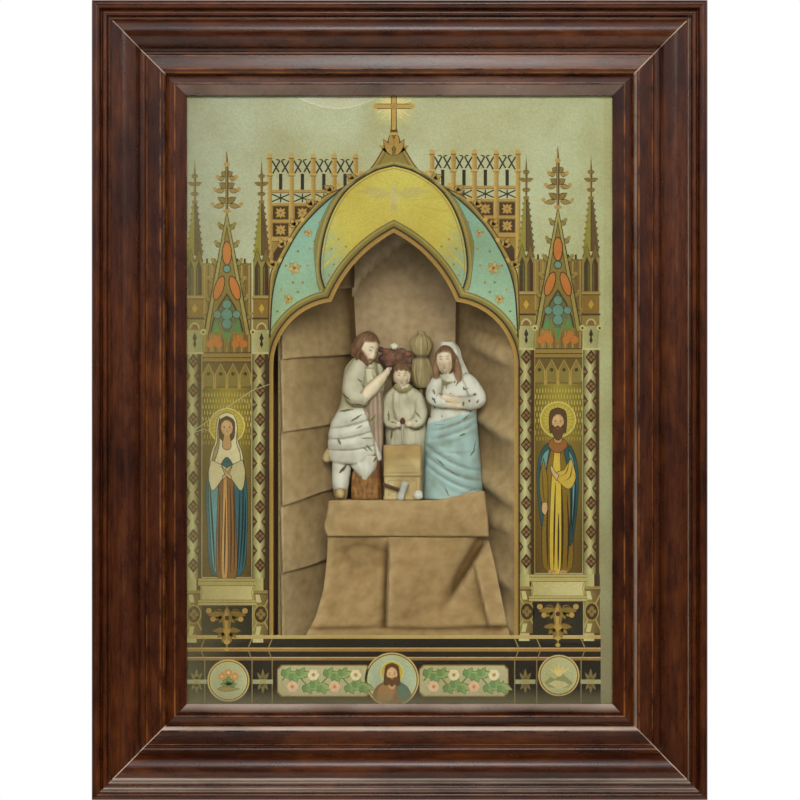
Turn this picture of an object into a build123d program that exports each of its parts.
from build123d import *
import os
from math import cos, radians, sin

# Wall-hung glazed box picture, in millimetres: X to the right, Y to the wall, Z up.
# The origin is the middle of the rear edge of the top case board, where it meets the wall.

# Frame
frame_width = 508.0
frame_height = 660.0
moulding_width = 60.0
edge_bead_radius = 3.6
edge_bead_base = 36.0
small_bead_radius = 2.3
small_bead_base = 34.5
bead_gap = 1.2
bead_gap_depth = 2.0
quirk_width = 2.8
quirk_depth = 3.0
crest_start_height = 35.5
crest_run = 10.0
crest_height = 38.5
inflection_run = 22.0
inflection_height = 31.5
lip_height = 26.0
lip_width = 1.4
lip_drop = 3.0
mitre_nail_half = 0.9
mitre_nail_length = 46.0
mitre_nail_insets = (15.0, 30.0)
mitre_nail_height = 14.0

# Sight slip and what its rebate holds
slip_width = 17.0
slip_edge_height = 19.0
slip_arris_height = 21.0
slip_flat = 7.5
slip_toe_height = 14.5
slip_toe = 1.4
rebate_width = 10.0
rebate_play = 1.0
glass_thickness = 3.0
card_thickness = 1.0
mount_thickness = 2.0
case_entry = 6.0

# Arch cut out of the printed card, from the middle of the frame
arch_shift = -4.8
arch_half_width = 100.5
arch_bottom = -196.0
arch_spring = 32.0
arch_cusp_x = 52.0
arch_cusp_z = 82.0
arch_apex = 139.5
shoulder_sagitta = 12.5
crown_sagitta = 7.0
mount_reveal = 1.5

# Case and back
case_depth = 95.0
case_wall = 12.0
case_nail_half = 1.0
case_nail_length = 34.0
case_nail_head_half = 2.2
case_nail_head = 0.8
case_nail_count = 3
back_thickness = 6.0
back_recess = 12.0
back_seat = 5.0
back_play = 0.5
brad_half = 0.8
brad_length = 14.0
brad_bite = 5.0
brad_pitch = 140.0
nail_play = 0.05
block_length = 70.0
block_leg = 14.0
block_nose = 3.0
block_pitch = 220.0

# Hangers
hanger_spacing = 220.0
hanger_drop = 62.0
hanger_plate_width = 16.0
hanger_plate_length = 34.0
hanger_plate_thickness = 1.5
hanger_wire_radius = 1.6
hanger_wire_play = 0.08
hanger_ring_width = 26.0
hanger_ring_leg = 9.0
hanger_screw_radius = 1.7
hanger_screw_length = 5.5
hanger_screw_head_radius = 3.2
hanger_screw_head = 1.6
hanger_screw_head_taper = 30.0
hanger_screw_pitch = 13.0
hanger_screw_inset = 6.5

# Niche behind the arch
former_thickness = 2.0
former_back_half = 46.0
former_back_shift = 9.4
former_front_half = 108.0
former_gap_left = 16.0
former_gap_right = 5.0
former_rise = 42.0
lining_thickness = 1.2
lining_gap = 0.3
tuck_pitch = 58.0
tuck_depth = 3.2
tuck_level = 37.0
tuck_tilt = 7.0
wave_pitch = 74.0
wave_depth = 2.6
wave_tilt = -16.0

# Shelf, plinth and their cloth
shelf_shift = 10.7
shelf_half_width = 66.0
shelf_side_gap = 9.6
shelf_thickness = 29.0
shelf_drop = 85.2
shelf_set_back = 10.0
shelf_back_gap = 12.0
plinth_half_width = 44.0
plinth_back_half = 30.0
plinth_set_back = 10.0
plinth_back_gap = 4.0
cloth_thickness = 1.0
cloth_gap = 0.2
skirt_thickness = 1.2
skirt_top_half = 60.0
skirt_side_gap = 7.8
skirt_drop = 204.0
skirt_top_set_back = 2.0
skirt_flare = 6.0
skirt_return = 26.0
skirt_return_gap = 1.1
skirt_fold_top = 0.8
skirt_fold_hem = 3.0

# Painted bisque group, from the middle of the front edge of the shelf cloth's top
seat_gap = 0.2
bench_half_width = 16.2
bench_height = 46.0
bench_depth = 20.0
bench_x = -3.5
man_height = 146.5
man_gap = 16.3
man_y = 27.0
child_height = 116.5
child_shift = 0.5
child_gap = 12.0
woman_height = 132.5
woman_gap = 25.9
woman_y = 23.5
bench_front = 5.0
bench_top_thickness = 6.0
bench_overhang = 1.2
bench_panel_inset = 4.0
bench_panel_depth = 1.2
bench_plinth = 7.0
chisel_shift = 0.1
chisel_set_back = 12.5
chisel_shaft_radius = 1.0
chisel_shaft_length = 14.0
chisel_handle_radius = 1.9
chisel_handle_length = 9.0
chisel_handle_round = 1.2
hammer_x = -3.4
hammer_tilt = 18.0
hammer_handle_length = 15.0
hammer_handle_radius = 1.6
hammer_head_length = 14.5
hammer_head_half = 2.4
hammer_head_chamfer = 0.6
ball_x = 9.6
ball_y = 0.4
ball_radius = 4.2
distaff_x = 12.6
distaff_gap = 17.0
distaff_rod_radius = 2.0
flax_bottom = 98.0
flax_height = 45.0
flax_neck = 14.0
flax_neck_radius = 6.0
flax_head_radius = 10.5
flax_skirt_radius = 8.6
bush_x = -10.5
bush_gap = 11.0
bush_stem_radius = 2.6
bush_bottom = 113.0
bush_rows = (3, 2)
bush_pitch = 8.2
bush_row_rise = 8.5
bush_radius = 5.6

# Places worked out from the sizes above
rim_width = case_wall - back_seat
sight_width = frame_width - 2 * (moulding_width + slip_width)
sight_height = frame_height - 2 * (moulding_width + slip_width)
case_width = sight_width + 2 * (rebate_width - rebate_play)
case_height = sight_height + 2 * (rebate_width - rebate_play)
case_inner_width = case_width - 2 * case_wall
case_inner_height = case_height - 2 * case_wall
centre_z = rim_width / 2 - case_height / 2
frame_back_y = -case_depth
mount_back_y = frame_back_y - case_entry
card_back_y = mount_back_y - mount_thickness
glass_back_y = card_back_y - card_thickness
rebate_depth = case_entry + mount_thickness + card_thickness + glass_thickness
board_rear_y = -back_recess
board_front_y = board_rear_y - back_thickness
former_inner_y = board_front_y - former_thickness
floor_z = centre_z - case_inner_height / 2
front = Vector(0, -1, 0)
up = Vector(0, 0, 1)
right = Vector(1, 0, 0)
frame_middle = Vector(0, frame_back_y, centre_z)


def front_plane(y):
    return Plane(origin=(0, y, centre_z), x_dir=(1, 0, 0), z_dir=(0, -1, 0))


def save(part, name):
    part.label = name
    export_step(part, f"parts/{name}.step")


os.makedirs("parts", exist_ok=True)

# Square cut nails. A nail's plane has its origin on the wood and its Z axis into it.


def nail(place, length, half, head_half=0.0, head=0.0):
    with BuildPart() as piece:
        with BuildSketch(place):
            Rectangle(2 * half, 2 * half)
        extrude(amount=length)
        if head:
            with BuildSketch(place):
                Rectangle(2 * head_half, 2 * head_half)
            extrude(amount=-head)
    return piece.part


def nail_bores(places, length, half):
    with BuildPart() as bores:
        for place in places:
            with BuildSketch(place):
                Rectangle(2 * (half + nail_play), 2 * (half + nail_play))
            extrude(amount=length + nail_play)
    return bores.part


mitre_nail_places = [
    Plane(
        origin=(
            side * frame_width / 2,
            frame_back_y - mitre_nail_height,
            centre_z + end * (frame_height / 2 - inset),
        ),
        z_dir=(-side, 0, 0),
    )
    for side in (-1, 1)
    for end in (-1, 1)
    for inset in mitre_nail_insets
]
mitre_bores = nail_bores(mitre_nail_places, mitre_nail_length, mitre_nail_half)

# Ogee moulding: X from the outer edge inwards, Y from the back of the frame forwards
crest_x = 2 * edge_bead_radius + bead_gap + 2 * small_bead_radius + quirk_width
small_bead_x = 2 * edge_bead_radius + bead_gap
quirk_x = small_bead_x + 2 * small_bead_radius
with BuildSketch() as moulding_section:
    with BuildLine():
        Line((moulding_width, 0), (0, 0))
        Line((0, 0), (0, edge_bead_base))
        ThreePointArc(
            (0, edge_bead_base),
            (edge_bead_radius, edge_bead_base + edge_bead_radius),
            (2 * edge_bead_radius, edge_bead_base),
        )
        Polyline(
            (2 * edge_bead_radius, edge_bead_base),
            (2 * edge_bead_radius, small_bead_base - bead_gap_depth),
            (small_bead_x, small_bead_base - bead_gap_depth),
            (small_bead_x, small_bead_base),
        )
        ThreePointArc(
            (small_bead_x, small_bead_base),
            (small_bead_x + small_bead_radius, small_bead_base + small_bead_radius),
            (quirk_x, small_bead_base),
        )
        Polyline(
            (quirk_x, small_bead_base),
            (quirk_x, small_bead_base - quirk_depth),
            (crest_x, small_bead_base - quirk_depth),
            (crest_x, crest_start_height),
        )
        crest = ThreePointArc(
            (crest_x, crest_start_height),
            (crest_x + crest_run, crest_height),
            (crest_x + inflection_run, inflection_height),
        )
        TangentArc(
            crest @ 1,
            (moulding_width - 2 * lip_width, lip_height),
            tangent=crest % 1,
        )
        Polyline(
            (moulding_width - 2 * lip_width, lip_height),
            (moulding_width - lip_width, lip_height),
            (moulding_width, lip_height - lip_drop),
            (moulding_width, 0),
        )
    make_face()

# Sight slip: a flat that rises to an arris, a bevel, and the rebate behind
with BuildSketch() as slip_section:
    with BuildLine():
        Polyline(
            (0, 0),
            (0, slip_edge_height),
            (slip_flat, slip_arris_height),
            (slip_width - slip_toe, slip_toe_height),
            (slip_width, slip_toe_height - slip_toe),
            (slip_width, rebate_depth),
            (slip_width - rebate_width, rebate_depth),
            (slip_width - rebate_width, 0),
            (0, 0),
        )
    make_face()


def mitred_length(section, outward, length, across):
    inward = outward * -1
    run = inward.cross(front)
    start = frame_middle + outward * (across / 2) - run * (length / 2)
    end = start + run * length
    with BuildPart() as piece:
        with BuildSketch(Plane(origin=start, x_dir=inward, z_dir=run)):
            add(section)
        extrude(amount=length)
        split(bisect_by=Plane(origin=start, z_dir=run - inward), keep=Keep.TOP)
        split(bisect_by=Plane(origin=end, z_dir=-run - inward), keep=Keep.TOP)
        add(mitre_bores, mode=Mode.SUBTRACT)
    return piece.part


slip_outer_width = frame_width - 2 * moulding_width
slip_outer_height = frame_height - 2 * moulding_width
for name, outward in (("top", up), ("bottom", -up)):
    save(
        mitred_length(moulding_section.sketch, outward, frame_width, frame_height),
        f"{name}_rail",
    )
    save(
        mitred_length(slip_section.sketch, outward, slip_outer_width, slip_outer_height),
        f"{name}_slip",
    )
for name, outward in (("left", -right), ("right", right)):
    save(
        mitred_length(moulding_section.sketch, outward, frame_height, frame_width),
        f"{name}_stile",
    )
    save(
        mitred_length(slip_section.sketch, outward, slip_outer_height, slip_outer_width),
        f"{name}_slip",
    )

with BuildPart() as mitre_nails:
    for place in mitre_nail_places:
        add(nail(place, mitre_nail_length, mitre_nail_half))
save(mitre_nails.part, "mitre_nails")

# Glass, printed card and its mount, all cut to the case's outline
with BuildPart() as glass_pane:
    with BuildSketch(front_plane(glass_back_y)):
        Rectangle(case_width, case_height)
    extrude(amount=glass_thickness)
save(glass_pane.part, "glass_pane")

with BuildSketch() as arch_opening:
    with BuildLine():
        Polyline(
            (arch_shift - arch_half_width, arch_spring),
            (arch_shift - arch_half_width, arch_bottom),
            (arch_shift + arch_half_width, arch_bottom),
            (arch_shift + arch_half_width, arch_spring),
        )
        SagittaArc(
            (arch_shift + arch_half_width, arch_spring),
            (arch_shift + arch_cusp_x, arch_cusp_z),
            -shoulder_sagitta,
        )
        SagittaArc(
            (arch_shift + arch_cusp_x, arch_cusp_z),
            (arch_shift, arch_apex),
            -crown_sagitta,
        )
        SagittaArc(
            (arch_shift, arch_apex),
            (arch_shift - arch_cusp_x, arch_cusp_z),
            -crown_sagitta,
        )
        SagittaArc(
            (arch_shift - arch_cusp_x, arch_cusp_z),
            (arch_shift - arch_half_width, arch_spring),
            -shoulder_sagitta,
        )
    make_face()

with BuildSketch() as mount_opening:
    add(arch_opening.sketch)
    offset(amount=mount_reveal, kind=Kind.INTERSECTION)

with BuildPart() as print_card:
    with BuildSketch(front_plane(card_back_y)):
        Rectangle(case_width, case_height)
        add(arch_opening.sketch, mode=Mode.SUBTRACT)
    extrude(amount=card_thickness)
save(print_card.part, "print_card")

with BuildPart() as mount_board:
    with BuildSketch(front_plane(mount_back_y)):
        Rectangle(case_width, case_height)
        add(mount_opening.sketch, mode=Mode.SUBTRACT)
    extrude(amount=mount_thickness)
save(mount_board.part, "mount_board")

# Case: top and bottom boards run over the side boards, with a seat for the back board
case_length = case_depth + case_entry
case_nail_places = [
    Plane(
        origin=(
            side * (case_width / 2 - rim_width / 2),
            -case_length * (step + 0.5) / case_nail_count,
            centre_z + end * case_height / 2,
        ),
        z_dir=(0, 0, -end),
    )
    for side in (-1, 1)
    for end in (-1, 1)
    for step in range(case_nail_count)
]
case_bores = nail_bores(case_nail_places, case_nail_length, case_nail_half)
seat_width = case_inner_width + 2 * back_seat
seat_height = case_inner_height + 2 * back_seat


def evenly(span, pitch):
    count = max(2, round(span / pitch))
    return [span * ((step + 0.5) / count - 0.5) for step in range(count)]


brad_y = board_rear_y + brad_half + nail_play
brad_places = [
    Plane(
        origin=(side * (seat_width / 2 - brad_length + brad_bite), brad_y, centre_z + z),
        z_dir=(side, 0, 0),
    )
    for side in (-1, 1)
    for z in evenly(seat_height, brad_pitch)
] + [
    Plane(
        origin=(x, brad_y, centre_z + end * (seat_height / 2 - brad_length + brad_bite)),
        z_dir=(0, 0, end),
    )
    for end in (-1, 1)
    for x in evenly(seat_width, brad_pitch)
]
brad_bores = nail_bores(brad_places, brad_length, brad_half)

with BuildPart() as back_seat_cut:
    with BuildSketch(front_plane(0)):
        Rectangle(seat_width, seat_height)
    extrude(amount=back_recess + back_thickness)


def case_board(x, z, width, height):
    with BuildPart() as board:
        with BuildSketch(front_plane(0)):
            with Locations((x, z)):
                Rectangle(width, height)
        extrude(amount=case_length)
        add(back_seat_cut.part, mode=Mode.SUBTRACT)
        add(case_bores, mode=Mode.SUBTRACT)
        add(brad_bores, mode=Mode.SUBTRACT)
    return board.part


board_x = case_width / 2 - case_wall / 2
board_z = case_height / 2 - case_wall / 2
save(case_board(0, board_z, case_width, case_wall), "case_top")
save(case_board(0, -board_z, case_width, case_wall), "case_bottom")
save(case_board(-board_x, 0, case_wall, case_inner_height), "case_left")
save(case_board(board_x, 0, case_wall, case_inner_height), "case_right")

with BuildPart() as case_nails:
    for place in case_nail_places:
        add(nail(place, case_nail_length, case_nail_half, case_nail_head_half, case_nail_head))
save(case_nails.part, "case_nails")

# Glue blocks in the corner between the case and the back of the frame
with BuildPart() as glue_blocks:
    for outward, along, half, span in (
        (right, up, case_width / 2, case_height),
        (-right, up, case_width / 2, case_height),
        (up, right, case_height / 2, case_width),
        (-up, right, case_height / 2, case_width),
    ):
        for place in evenly(span, block_pitch):
            foot = frame_middle + outward * half + along * (place - block_length / 2)
            with BuildSketch(Plane(origin=foot, x_dir=outward, z_dir=along)):
                with BuildLine():
                    turn = along.cross(outward).dot(Vector(0, 1, 0))
                    Polyline(
                        (0, 0),
                        (block_leg, 0),
                        (block_leg, turn * block_nose),
                        (block_nose, turn * block_leg),
                        (0, turn * block_leg),
                        (0, 0),
                    )
                make_face()
            extrude(amount=block_length)
save(glue_blocks.part, "glue_blocks")

# Hangers: a folded plate, a ring whose bar turns in the fold, and two screws each
ring_bar_z = centre_z + case_height / 2 - hanger_drop
knuckle_radius = hanger_wire_radius + hanger_wire_play + hanger_plate_thickness
ring_bar_y = board_rear_y + knuckle_radius
plate_top_z = ring_bar_z + hanger_plate_length
hanger_screw_places = [
    Plane(
        origin=(
            side * hanger_spacing / 2,
            board_rear_y + hanger_plate_thickness,
            plate_top_z - hanger_screw_inset - step * hanger_screw_pitch,
        ),
        z_dir=(0, -1, 0),
    )
    for side in (-1, 1)
    for step in range(2)
]
with BuildPart() as screw_bores:
    for place in hanger_screw_places:
        with BuildSketch(place):
            Circle(hanger_screw_radius + nail_play)
        extrude(amount=hanger_screw_length + nail_play)


def hanger_plate(x):
    with BuildPart() as plate:
        with BuildSketch(Plane(origin=(x, board_rear_y, 0), x_dir=(1, 0, 0), z_dir=(0, 1, 0))):
            with Locations((0, -(ring_bar_z + plate_top_z) / 2)):
                Rectangle(hanger_plate_width, hanger_plate_length)
        extrude(amount=hanger_plate_thickness)
        top_edges = plate.edges().filter_by(Axis.Y).group_by(Axis.Z)[-1]
        fillet(top_edges, hanger_plate_width / 3)
        knuckle = Plane(origin=(x, ring_bar_y, ring_bar_z), z_dir=(1, 0, 0))
        with BuildSketch(knuckle):
            Circle(knuckle_radius)
        extrude(amount=hanger_plate_width / 2, both=True)
        with BuildSketch(knuckle):
            Circle(hanger_wire_radius + hanger_wire_play)
        extrude(amount=hanger_plate_width / 2, both=True, mode=Mode.SUBTRACT)
        add(screw_bores.part, mode=Mode.SUBTRACT)
    return plate.part


def hanger_ring(x):
    half = hanger_ring_width / 2
    bow_z = ring_bar_z - hanger_ring_leg
    with BuildPart() as ring:
        with BuildSketch(Plane(origin=(x, ring_bar_y, ring_bar_z), z_dir=(1, 0, 0))):
            Circle(hanger_wire_radius)
        extrude(amount=half, both=True)
        for side in (-1, 1):
            with BuildSketch(Plane(origin=(x + side * half, ring_bar_y, ring_bar_z), z_dir=(0, 0, -1))):
                Circle(hanger_wire_radius)
            extrude(amount=hanger_ring_leg)
            with Locations((x + side * half, ring_bar_y, ring_bar_z)):
                Sphere(hanger_wire_radius)
        with BuildSketch(Plane(origin=(x + half, ring_bar_y, bow_z), z_dir=(0, 0, -1))):
            Circle(hanger_wire_radius)
        revolve(axis=Axis((x, ring_bar_y, bow_z), (0, 1, 0)), revolution_arc=180)
    return ring.part


for name, side in (("left", -1), ("right", 1)):
    save(hanger_plate(side * hanger_spacing / 2), f"hanger_plate_{name}")
    save(hanger_ring(side * hanger_spacing / 2), f"hanger_ring_{name}")

with BuildPart() as hanger_screws:
    for place in hanger_screw_places:
        with BuildSketch(place):
            Circle(hanger_screw_radius)
        extrude(amount=hanger_screw_length)
        with BuildSketch(place):
            Circle(hanger_screw_head_radius)
        extrude(amount=-hanger_screw_head, taper=hanger_screw_head_taper)
save(hanger_screws.part, "hanger_screws")

# Back board and the brads behind it
with BuildPart() as back_board:
    with BuildSketch(front_plane(board_rear_y)):
        Rectangle(seat_width - 2 * back_play, seat_height - 2 * back_play)
    extrude(amount=back_thickness)
    add(screw_bores.part, mode=Mode.SUBTRACT)
save(back_board.part, "back_board")

with BuildPart() as back_brads:
    for place in brad_places:
        add(nail(place, brad_length, brad_half))
save(back_brads.part, "back_brads")

# Folded card former: a back panel with two wings that open towards the arch
former_height = centre_z + arch_apex + former_rise - floor_z
wing_depth = former_inner_y - mount_back_y
wing_slope = (former_front_half - former_back_half) / wing_depth


def wing_end(side, gap):
    return Vector(
        arch_shift + side * (former_front_half - gap * wing_slope),
        mount_back_y + gap,
    )


def wing_root(side):
    return Vector(arch_shift + former_back_shift + side * former_back_half, former_inner_y)


def niche_half(y):
    return former_back_half + (former_inner_y - y) * wing_slope


left_end = wing_end(-1, former_gap_left)
right_end = wing_end(1, former_gap_right)
left_root = wing_root(-1)
right_root = wing_root(1)
with BuildPart() as niche_former:
    with BuildSketch(Plane.XY.offset(floor_z)):
        with BuildLine():
            Polyline(left_end, left_root, right_root, right_end)
            offset(amount=former_thickness, side=Side.LEFT, kind=Kind.INTERSECTION)
        make_face()
    extrude(amount=former_height)
save(niche_former.part, "niche_former")

# Cotton lining: a flat back, tucks on the left wing, loose slanting folds on the right wing
with BuildPart() as lining_back:
    with BuildSketch(Plane.XY.offset(floor_z)):
        with BuildLine():
            inset = lining_gap + lining_thickness
            Polyline(
                (left_root.X + inset, former_inner_y - lining_gap),
                (right_root.X - inset, former_inner_y - lining_gap),
                (right_root.X - inset, former_inner_y - lining_gap - lining_thickness),
                (left_root.X + inset, former_inner_y - lining_gap - lining_thickness),
                close=True,
            )
        make_face()
    extrude(amount=former_height)
save(lining_back.part, "lining_back")


def wing_lining(side, root, end, pitch, depth, tilt, smooth):
    along = (end - root).normalized()
    inwards = Vector(along.Y, -along.X) * side
    clear = lining_gap + lining_thickness + depth
    length = (end - root).length - clear
    base = Vector(root.X, root.Y, floor_z) + inwards * lining_gap + along * clear
    face = Plane(origin=base, x_dir=along, z_dir=inwards)
    slant = along * cos(radians(tilt)) + up * sin(radians(tilt))
    section = Plane(origin=base, x_dir=inwards, z_dir=slant)
    rising = section.y_dir.Z
    lowest = (centre_z - floor_z + tuck_level) % pitch - 2 * pitch
    folds = [lowest + step * pitch for step in range(int(former_height / pitch) + 5)]
    outer = []
    for low in folds:
        crease = low + (pitch / 2 if smooth else pitch - depth)
        outer.append((depth + lining_thickness, rising * low))
        outer.append((lining_thickness, rising * crease))
    inner = [(x - lining_thickness, z) for x, z in reversed(outer)]
    with BuildPart() as cloth:
        with BuildSketch(section):
            with BuildLine():
                Polyline(*outer, *inner, close=True)
            make_face()
        extrude(amount=2 * length, both=True)
        with BuildSketch(face):
            with Locations((length / 2, face.y_dir.Z * former_height / 2)):
                Rectangle(length, former_height)
        extrude(amount=depth + 2 * lining_thickness, mode=Mode.INTERSECT)
    return cloth.part


save(wing_lining(-1, left_root, left_end, tuck_pitch, tuck_depth, -tuck_tilt, False), "lining_left")
save(wing_lining(1, right_root, right_end, wave_pitch, wave_depth, wave_tilt, True), "lining_right")

# Shelf and plinth, both narrower towards the back of the niche
shelf_x = arch_shift + shelf_shift
shelf_front_y = mount_back_y + shelf_set_back
shelf_back_y = former_inner_y - shelf_back_gap
shelf_top_z = centre_z - shelf_drop
shelf_bottom_z = shelf_top_z - shelf_thickness
shelf_back_half = niche_half(shelf_back_y) - shelf_shift - shelf_side_gap


def tapered_block(x, front_half, back_half, front_y, back_y, bottom, top, grow=0.0):
    with BuildPart() as block:
        with BuildSketch(Plane.XY.offset(bottom)):
            with BuildLine():
                Polyline(
                    (x - front_half - grow, front_y - grow),
                    (x + front_half + grow, front_y - grow),
                    (x + back_half + grow, back_y + grow),
                    (x - back_half - grow, back_y + grow),
                    close=True,
                )
            make_face()
        extrude(amount=top - bottom)
    return block.part


shelf_plan = (shelf_x, shelf_half_width, shelf_back_half, shelf_front_y, shelf_back_y)
plinth_plan = (
    shelf_x,
    plinth_half_width,
    plinth_back_half,
    shelf_front_y + plinth_set_back,
    shelf_back_y - plinth_back_gap,
)
save(tapered_block(*shelf_plan, shelf_bottom_z, shelf_top_z), "shelf_board")
save(tapered_block(*plinth_plan, floor_z, shelf_bottom_z), "plinth")

cloth_grow = cloth_gap + cloth_thickness
cloth_top_z = shelf_top_z + cloth_grow
with BuildPart() as shelf_cloth:
    add(tapered_block(*shelf_plan, shelf_bottom_z, cloth_top_z, cloth_grow))
    add(
        tapered_block(*shelf_plan, shelf_bottom_z, shelf_top_z + cloth_gap, cloth_gap),
        mode=Mode.SUBTRACT,
    )
save(shelf_cloth.part, "shelf_cloth")

# Skirt: folds deepen from the shelf to the hem, each fold given as a share of the half width
skirt_folds = (
    (-1.0, 0.0),
    (-0.62, -1.0),
    (-0.3, 0.6),
    (-0.12, -1.0),
    (-0.06, 1.0),
    (0.36, -0.6),
    (0.6, 1.0),
    (0.76, -1.0),
    (1.0, 0.0),
)


skirt_top_y = shelf_front_y + skirt_top_set_back
skirt_hem_y = skirt_top_y - skirt_flare
skirt_hem_half = niche_half(skirt_hem_y) - shelf_shift - skirt_side_gap
skirt_return_taper = skirt_return * wing_slope + skirt_return_gap


def skirt_outline(half, front_y, fold, inset):
    edge = half - inset
    back_half = edge - skirt_return_taper
    back_y = front_y + skirt_return + inset
    points = [(shelf_x - back_half, back_y)]
    points += [(shelf_x + edge * share, front_y + inset + fold * dip) for share, dip in skirt_folds]
    points += [(shelf_x + back_half, back_y)]
    return points


def skirt_body(inset):
    with BuildPart() as body:
        for z, half, front_y, fold in (
            (centre_z - skirt_drop, skirt_hem_half, skirt_hem_y, skirt_fold_hem),
            (shelf_bottom_z - cloth_gap, skirt_top_half, skirt_top_y, skirt_fold_top),
        ):
            with BuildSketch(Plane.XY.offset(z)):
                with BuildLine():
                    Polyline(*skirt_outline(half, front_y, fold, inset), close=True)
                make_face()
        loft(ruled=True)
    return body.part


with BuildPart() as skirt_cloth:
    add(skirt_body(0.0))
    add(skirt_body(skirt_thickness), mode=Mode.SUBTRACT)
save(skirt_cloth.part, "skirt_cloth")

# Painted bisque group. Places are from the middle of the shelf's front edge, on its cloth.
group_z = cloth_top_z + seat_gap


def spot(x, y, z):
    return Vector(shelf_x + x, shelf_front_y + y, group_z + z)


# Radius and height of the rings that round off a head or a limb, as shares of its own radius
dome = ((0.36, 0.93), (0.78, 0.63))
blunt = ((0.72, 0.7),)


def robe(base, unit, stations):
    with BuildPart() as body:
        for z, x, y, half_width, half_depth in stations:
            place = base + Vector(x, y, z) * unit
            with BuildSketch(Plane.XY.offset(place.Z)):
                with Locations((place.X, place.Y)):
                    Ellipse(half_width * unit, half_depth * unit)
        loft(ruled=True)
    return body.part


def limb(base, unit, start, end, start_size, end_size):
    first = base + Vector(*start) * unit
    last = base + Vector(*end) * unit
    start_radius = start_size * unit
    end_radius = end_size * unit
    along = (last - first).normalized()
    stations = [(first - along * start_radius * rise, start_radius * share) for share, rise in blunt]
    stations += [(first, start_radius), (last, end_radius)]
    stations += [(last + along * end_radius * rise, end_radius * share) for share, rise in blunt]
    with BuildPart() as piece:
        for place, radius in stations:
            with BuildSketch(Plane(origin=place, z_dir=along)):
                Circle(radius)
        loft(ruled=True)
    return piece.part


def egg(base, unit, middle, radius, stretch):
    x, y, z = middle
    tall = radius * stretch
    stations = [(z - tall * rise, x, y, radius * share, radius * share) for share, rise in dome]
    stations += [(z, x, y, radius, radius)]
    stations += [(z + tall * rise, x, y, radius * share, radius * share) for share, rise in dome[::-1]]
    return robe(base, unit, stations)


# The three figures stand round the bench. A station is height, place, half width and half depth.
# The numbers of each figure are in hundredths of its height.
man_base = spot(bench_x - bench_half_width - man_gap, man_y, 0)
child_y = bench_front + bench_depth + child_gap
child_base = spot(bench_x + child_shift, child_y, 0)
woman_base = spot(bench_x + bench_half_width + woman_gap, woman_y, 0)
man_unit = man_height / 100
child_unit = child_height / 100
woman_unit = woman_height / 100
man_body = (
    (19.1, -5.1, 0, 11.6, 8.2),
    (30.7, -5.1, 0, 14.3, 9.6),
    (42.3, -5.1, 0, 13.7, 9.2),
    (54.6, -3.7, 0, 10.6, 7.8),
    (66.9, -3, 0, 9.7, 7.5),
    (76.5, -1.6, 0, 9.2, 6.8),
    (81.2, -0.7, 0, 6.1, 5.5),
    (84, 0, 0, 3.8, 3.8),
)
man_apron = ((0, 1.4, -1.4, 9.2, 6.1), (12.3, 1, -1.4, 8.9, 6.5), (24.6, 0, -0.7, 8.2, 6.5))
with BuildPart() as man_figure:
    add(robe(man_base, man_unit, man_body))
    add(robe(man_base, man_unit, man_apron))
    add(limb(man_base, man_unit, (-13.7, -2, 4.8), (-12.3, -0.7, 27.3), 4.8, 5.5))
    add(limb(man_base, man_unit, (-13.7, -7.5, 3.1), (-13.7, -0.7, 3.4), 3.1, 3.4))
    add(limb(man_base, man_unit, (-20.5, 0, 25.3), (-13.7, 0, 28.7), 3.7, 4.1))
    add(limb(man_base, man_unit, (0, -6.8, 72.4), (-2, -9.6, 55.3), 4.8, 3.8))
    add(limb(man_base, man_unit, (-1.6, -9.3, 55.7), (13.7, -4.8, 73.7), 3.4, 2.5))
    add(limb(man_base, man_unit, (3.1, -5.5, 84), (4.4, -6.1, 79.9), 3.4, 2))
    add(egg(man_base, man_unit, (0.5, -0.7, 90.8), 7.4, 1.2))
    add(egg(man_base, man_unit, (-0.7, 1.4, 92.8), 7.4, 1.05))
save(man_figure.part, "man_figure")

child_body = (
    (0, 0.9, 0, 12, 7.7),
    (34.3, 0.9, 0, 12.4, 8.2),
    (60.1, 1.3, 0, 14.2, 8.2),
    (75.5, 0.4, 0, 12.4, 7.3),
    (81.5, 0, 0, 6.9, 5.6),
    (85.8, -0.4, 0, 3.9, 3.9),
)
with BuildPart() as child_figure:
    add(robe(child_base, child_unit, child_body))
    add(limb(child_base, child_unit, (-8.6, -2.6, 73), (-9.9, -7.7, 60.1), 4.3, 3.8))
    add(limb(child_base, child_unit, (-9.4, -8, 59.7), (-3.9, -11.2, 54.9), 3.4, 2.7))
    add(limb(child_base, child_unit, (9.9, -2.6, 73), (12.4, -7.7, 60.1), 4.3, 3.8))
    add(limb(child_base, child_unit, (12, -7.9, 59.8), (3.4, -11.2, 54.9), 3.4, 2.7))
    add(egg(child_base, child_unit, (-0.8, -0.9, 91), 6.7, 1.18))
    add(egg(child_base, child_unit, (-0.8, 0.9, 93.1), 7, 1.05))
save(child_figure.part, "child_figure")

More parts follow.
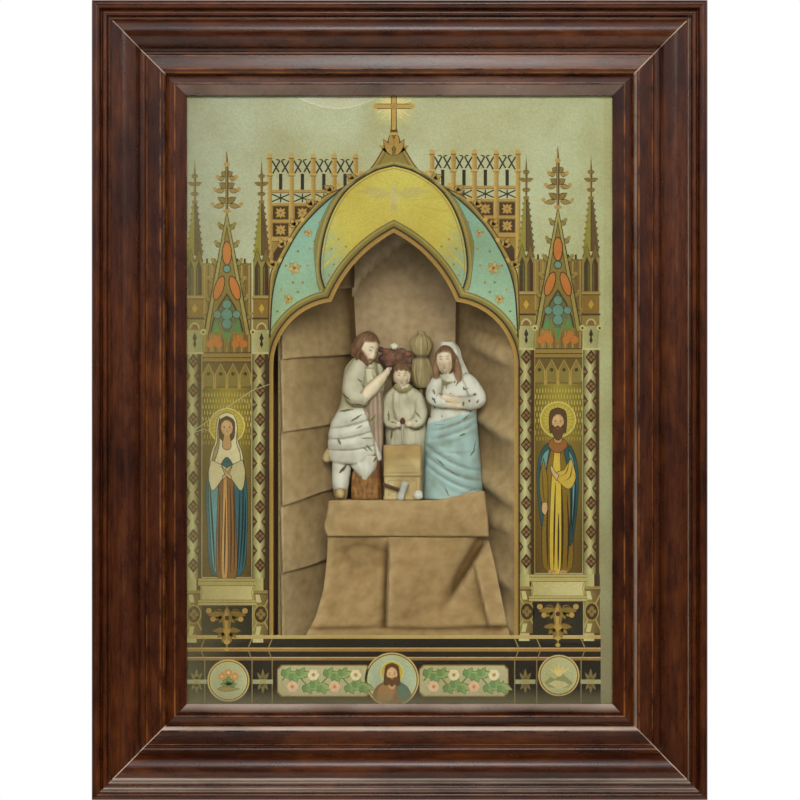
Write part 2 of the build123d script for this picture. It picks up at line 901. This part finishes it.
woman_body = (
    (0, 0, 0, 18.5, 12.1),
    (18.9, 0.2, 0, 17.7, 11.3),
    (39.2, 0.5, 0, 16.6, 10.6),
    (57.4, 1.2, 0, 14.3, 9.4),
    (69.4, 1.2, 0, 13.6, 8.7),
    (77, -0.5, 0, 11.3, 7.2),
    (81.5, -2.3, 0, 6.8, 5.3),
    (84.5, -3.5, 0, 3.8, 3.8),
)
woman_veil = ((69.4, 1.8, 3, 12.1, 6.8), (78.5, 0.3, 2.3, 10.6, 6.8), (89.1, -2, 0.8, 7.9, 6))
with BuildPart() as woman_figure:
    add(robe(woman_base, woman_unit, woman_body))
    add(robe(woman_base, woman_unit, woman_veil))
    add(limb(woman_base, woman_unit, (10.1, -2.3, 74), (15.8, -5.3, 61.1), 4.7, 4.1))
    add(limb(woman_base, woman_unit, (15.1, -5.5, 61.3), (-2, -12.1, 63.4), 3.8, 2.6))
    add(limb(woman_base, woman_unit, (-9.5, -3.8, 73.2), (-12.5, -8.3, 61.9), 4.5, 3.8))
    add(limb(woman_base, woman_unit, (-12.1, -8.5, 61.8), (1.1, -12.5, 59.6), 3.5, 2.4))
    add(egg(woman_base, woman_unit, (-4.2, -3, 89.1), 6.3, 1.2))
    add(egg(woman_base, woman_unit, (-2.7, 0, 90.6), 8.3, 1.2))
save(woman_figure.part, "woman_figure")

# Bench: a chest with a moulded top, a recessed front panel and a plinth
with BuildPart() as workbench:
    bench_middle = spot(bench_x, bench_front + bench_depth / 2, 0)
    with BuildSketch(Plane.XY.offset(bench_middle.Z)):
        with Locations((bench_middle.X, bench_middle.Y)):
            Rectangle(2 * bench_half_width, bench_depth)
    extrude(amount=bench_plinth)
    with BuildSketch(Plane.XY.offset(bench_middle.Z + bench_plinth)):
        with Locations((bench_middle.X, bench_middle.Y)):
            Rectangle(2 * (bench_half_width - bench_overhang), bench_depth - 2 * bench_overhang)
    extrude(amount=bench_height - bench_plinth - bench_top_thickness)
    with BuildSketch(Plane.XY.offset(bench_middle.Z + bench_height - bench_top_thickness)):
        with Locations((bench_middle.X, bench_middle.Y)):
            Rectangle(2 * bench_half_width, bench_depth)
    extrude(amount=bench_top_thickness)
    panel_height = bench_height - bench_plinth - bench_top_thickness
    panel_plane = Plane(
        origin=(
            bench_middle.X,
            bench_middle.Y - bench_depth / 2 + bench_overhang,
            bench_middle.Z + bench_plinth + panel_height / 2,
        ),
        x_dir=(1, 0, 0),
        z_dir=(0, -1, 0),
    )
    with BuildSketch(panel_plane):
        Rectangle(
            2 * (bench_half_width - bench_overhang - bench_panel_inset),
            panel_height - 2 * bench_panel_inset,
        )
    extrude(amount=-bench_panel_depth, mode=Mode.SUBTRACT)
save(workbench.part, "workbench")

# Chisel standing on the bench, held in front of the child's hands
chisel_foot = spot(bench_x + chisel_shift, bench_front + chisel_set_back, bench_height + seat_gap)
with BuildPart() as chisel:
    with BuildSketch(Plane.XY.offset(chisel_foot.Z)):
        with Locations((chisel_foot.X, chisel_foot.Y)):
            Circle(chisel_shaft_radius)
    extrude(amount=chisel_shaft_length)
    with BuildSketch(Plane.XY.offset(chisel_foot.Z + chisel_shaft_length)):
        with Locations((chisel_foot.X, chisel_foot.Y)):
            Circle(chisel_handle_radius)
    extrude(amount=chisel_handle_length)
    fillet(chisel.edges().group_by(Axis.Z)[-1], chisel_handle_round)
save(chisel.part, "chisel")

# Hammer leaning on the bench: its head stands on the shelf cloth, its handle rises to the left
hammer_axis = Vector(-cos(radians(hammer_tilt)), 0, sin(radians(hammer_tilt)))
head_upright = hammer_head_length * cos(radians(hammer_tilt))
head_reach = head_upright + 2 * hammer_head_half * sin(radians(hammer_tilt))
hammer_y = bench_front - hammer_head_half - seat_gap
hammer_middle = spot(hammer_x, hammer_y, head_reach / 2)
with BuildPart() as hammer_head:
    with BuildSketch(Plane(origin=hammer_middle, x_dir=(0, 1, 0), z_dir=hammer_axis)):
        Rectangle(2 * hammer_head_half, hammer_head_length)
    extrude(amount=hammer_head_half, both=True)
    chamfer(hammer_head.edges().filter_by(Axis(hammer_middle, hammer_axis)), hammer_head_chamfer)
save(hammer_head.part, "hammer_head")

with BuildPart() as hammer_handle:
    foot = hammer_middle + hammer_axis * (hammer_head_half + seat_gap)
    with BuildSketch(Plane(origin=foot, z_dir=hammer_axis)):
        Circle(hammer_handle_radius)
    extrude(amount=hammer_handle_length)
    fillet(hammer_handle.edges().sort_by(Axis.X)[0], hammer_handle_radius / 2)
save(hammer_handle.part, "hammer_handle")

with BuildPart() as yarn_ball:
    with Locations(spot(ball_x, ball_y, ball_radius)):
        Sphere(ball_radius)
save(yarn_ball.part, "yarn_ball")

# Distaff behind the group: a rod on the shelf with a tied bundle of flax
distaff_foot = spot(distaff_x, child_y + distaff_gap, 0)
with BuildPart() as distaff_rod:
    with BuildSketch(Plane.XY.offset(distaff_foot.Z)):
        with Locations((distaff_foot.X, distaff_foot.Y)):
            Circle(distaff_rod_radius)
    extrude(amount=flax_bottom - seat_gap)
save(distaff_rod.part, "distaff_rod")

flax_place = distaff_foot + up * flax_bottom
with BuildPart() as flax_bundle:
    with BuildSketch(Plane(origin=flax_place, x_dir=(1, 0, 0), z_dir=(0, -1, 0))):
        with BuildLine():
            Polyline((0, 0), (flax_skirt_radius, 0), (flax_neck_radius, flax_neck))
            ThreePointArc(
                (flax_neck_radius, flax_neck),
                (flax_head_radius, flax_neck + (flax_height - flax_neck) / 2),
                (flax_neck_radius, flax_height - flax_neck_radius / 2),
            )
            Polyline(
                (flax_neck_radius, flax_height - flax_neck_radius / 2),
                (0, flax_height),
                (0, 0),
            )
        make_face()
    revolve(axis=Axis(flax_place, (0, 0, 1)))
save(flax_bundle.part, "flax_bundle")

# Leafy bush behind the child, on a stem that stands on the shelf
bush_base = spot(bush_x, child_y + bush_gap, 0)
with BuildPart() as vine_bush:
    foot = (0, 0, bush_stem_radius)
    add(limb(bush_base, 1.0, foot, (0, 0, bush_bottom), bush_stem_radius, bush_stem_radius))
    for row, count in enumerate(bush_rows):
        for step in range(count):
            x = (step - (count - 1) / 2) * bush_pitch
            z = bush_bottom + bush_radius + row * bush_row_rise
            add(egg(bush_base, 1.0, (x, 0, z), bush_radius, 1.0))
save(vine_bush.part, "vine_bush")
